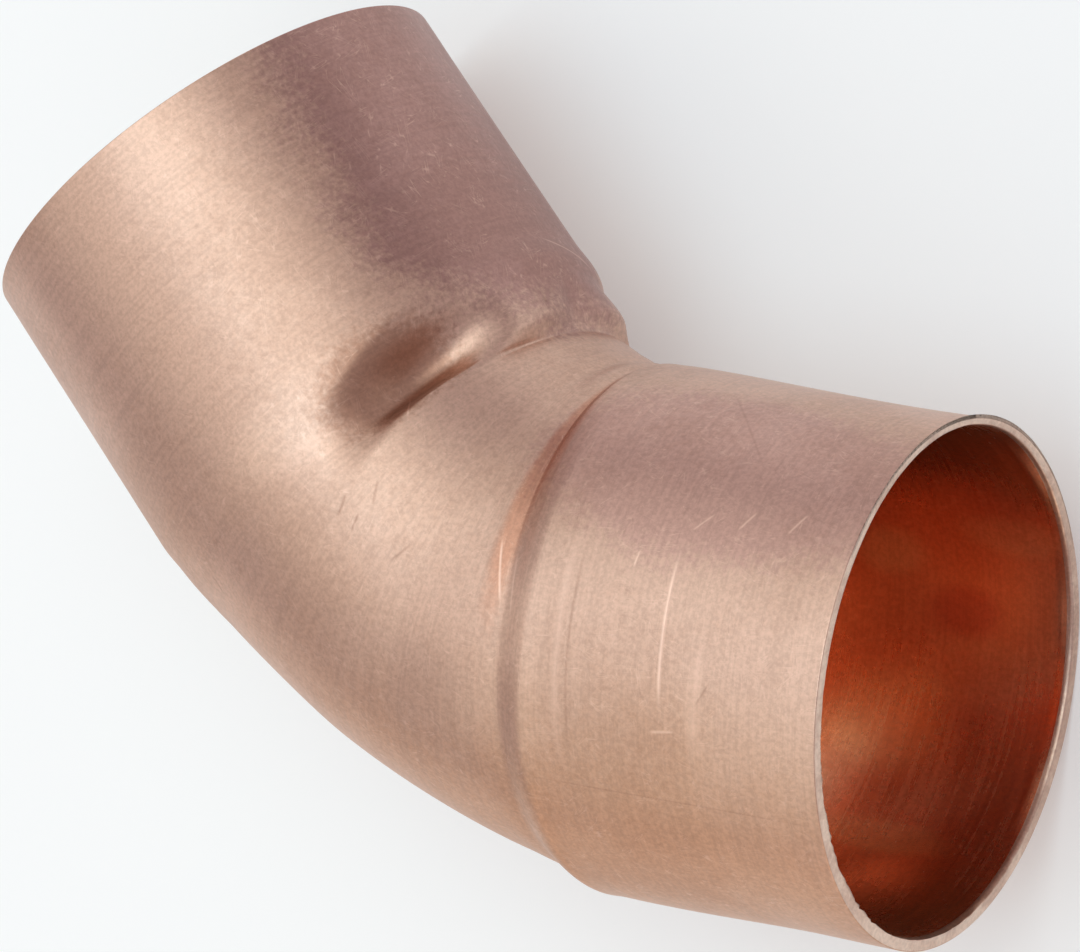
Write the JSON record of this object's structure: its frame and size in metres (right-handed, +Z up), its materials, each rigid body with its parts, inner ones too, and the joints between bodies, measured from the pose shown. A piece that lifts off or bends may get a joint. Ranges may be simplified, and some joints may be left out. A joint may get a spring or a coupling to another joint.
{
  "type": "forty-five degree copper elbow",
  "caption": "One-piece copper pipe elbow with a forty-five degree bend and a plain solder socket at each end.",
  "frame": {"origin": "centre of the first socket's mouth", "axes": "+X out of the first socket along its axis, +Z up across the plane of the bend, so the bend lies flat in XY and the second socket points to -X and +Y"},
  "size_m": [0.0926, 0.0713, 0.0444],
  "materials": {
    "copper": "satin drawn copper with fine scratches"
  },
  "bodies": {
    "root": {"elbow": "copper"}
  },
  "joints": []
}
